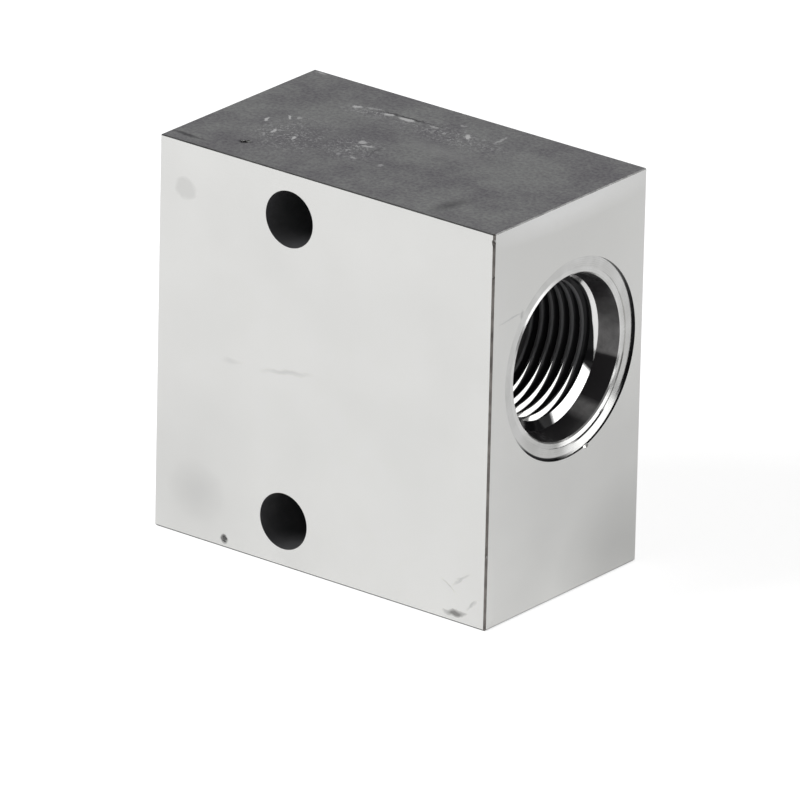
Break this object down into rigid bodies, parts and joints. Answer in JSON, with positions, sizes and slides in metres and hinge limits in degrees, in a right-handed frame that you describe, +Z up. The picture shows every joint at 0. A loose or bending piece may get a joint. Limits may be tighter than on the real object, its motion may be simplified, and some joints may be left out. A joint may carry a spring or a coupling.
{
  "type": "hydraulic manifold block",
  "caption": "Aluminium hydraulic manifold block: a screw-in cartridge valve cavity joined to pipe ports, with through holes for mounting bolts.",
  "frame": {"origin": "centre of the bottom face", "axes": "+Z up, +X out of the cartridge cavity, +Y to the back, the face bolted to the machine"},
  "size_m": [0.06, 0.035, 0.06],
  "materials": {
    "aluminium": "fine-milled bare aluminium, lightly dulled on top"
  },
  "bodies": {
    "root": {"manifold_block": "aluminium"}
  },
  "joints": []
}
